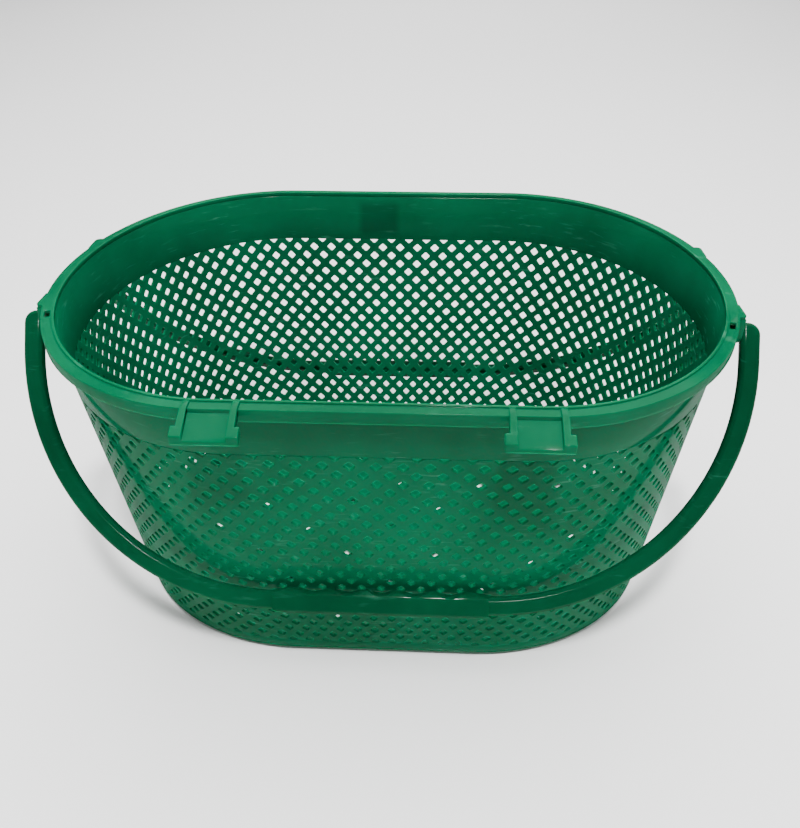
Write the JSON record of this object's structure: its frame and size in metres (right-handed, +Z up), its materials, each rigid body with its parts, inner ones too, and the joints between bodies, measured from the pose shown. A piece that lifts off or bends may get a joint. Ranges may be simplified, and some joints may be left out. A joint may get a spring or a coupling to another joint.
{
  "type": "harvest basket",
  "caption": "Oblong green plastic harvest basket with a tapered diamond lattice wall, solid rim band, front lugs and swinging bails.",
  "frame": {"origin": "on the ground under the middle of the whole, lugs included", "axes": "+X along the length to the right as seen from the front, -Y towards the front with the lugs, +Z up"},
  "size_m": [0.4696, 0.35, 0.239],
  "materials": {
    "tub_plastic": "semi-gloss emerald green, slightly translucent moulded plastic",
    "bail_plastic": "semi-gloss darker green moulded plastic"
  },
  "bodies": {
    "tub": {"rim_flange": "tub_plastic", "upper_band": "tub_plastic", "base_band": "tub_plastic", "floor": "tub_plastic", "foot_ring": "tub_plastic", "back_pad": "tub_plastic", "lug_left": "tub_plastic", "lug_right": "tub_plastic", "ear_front_left": "tub_plastic", "ear_front_right": "tub_plastic", "ear_back_left": "tub_plastic", "ear_back_right": "tub_plastic", "lattice_front": "tub_plastic", "lattice_back": "tub_plastic", "lattice_left_1": "tub_plastic", "lattice_left_2": "tub_plastic", "lattice_left_3": "tub_plastic", "lattice_left_4": "tub_plastic", "lattice_left_5": "tub_plastic", "lattice_left_6": "tub_plastic", "lattice_left_7": "tub_plastic", "lattice_left_8": "tub_plastic", "lattice_right_1": "tub_plastic", "lattice_right_2": "tub_plastic", "lattice_right_3": "tub_plastic", "lattice_right_4": "tub_plastic", "lattice_right_5": "tub_plastic", "lattice_right_6": "tub_plastic", "lattice_right_7": "tub_plastic", "lattice_right_8": "tub_plastic"},
    "bail_front": {"bail_front_arm_left": "bail_plastic", "bail_front_arm_right": "bail_plastic", "bail_front_grip": "bail_plastic"},
    "bail_back": {"bail_back_arm_left": "bail_plastic", "bail_back_arm_right": "bail_plastic", "bail_back_grip": "bail_plastic"}
  },
  "joints": [
    {"name": "bail_front_hinge", "type": "hinge", "parent": "tub", "child": "bail_front", "pos_m": [0, -0.038, 0.225], "axis": [-1, 0, 0], "range_deg": [0, 158.8]},
    {"name": "bail_back_hinge", "type": "hinge", "parent": "tub", "child": "bail_back", "pos_m": [0, 0.054, 0.225], "axis": [1, 0, 0], "range_deg": [0, 158.8]}
  ]
}
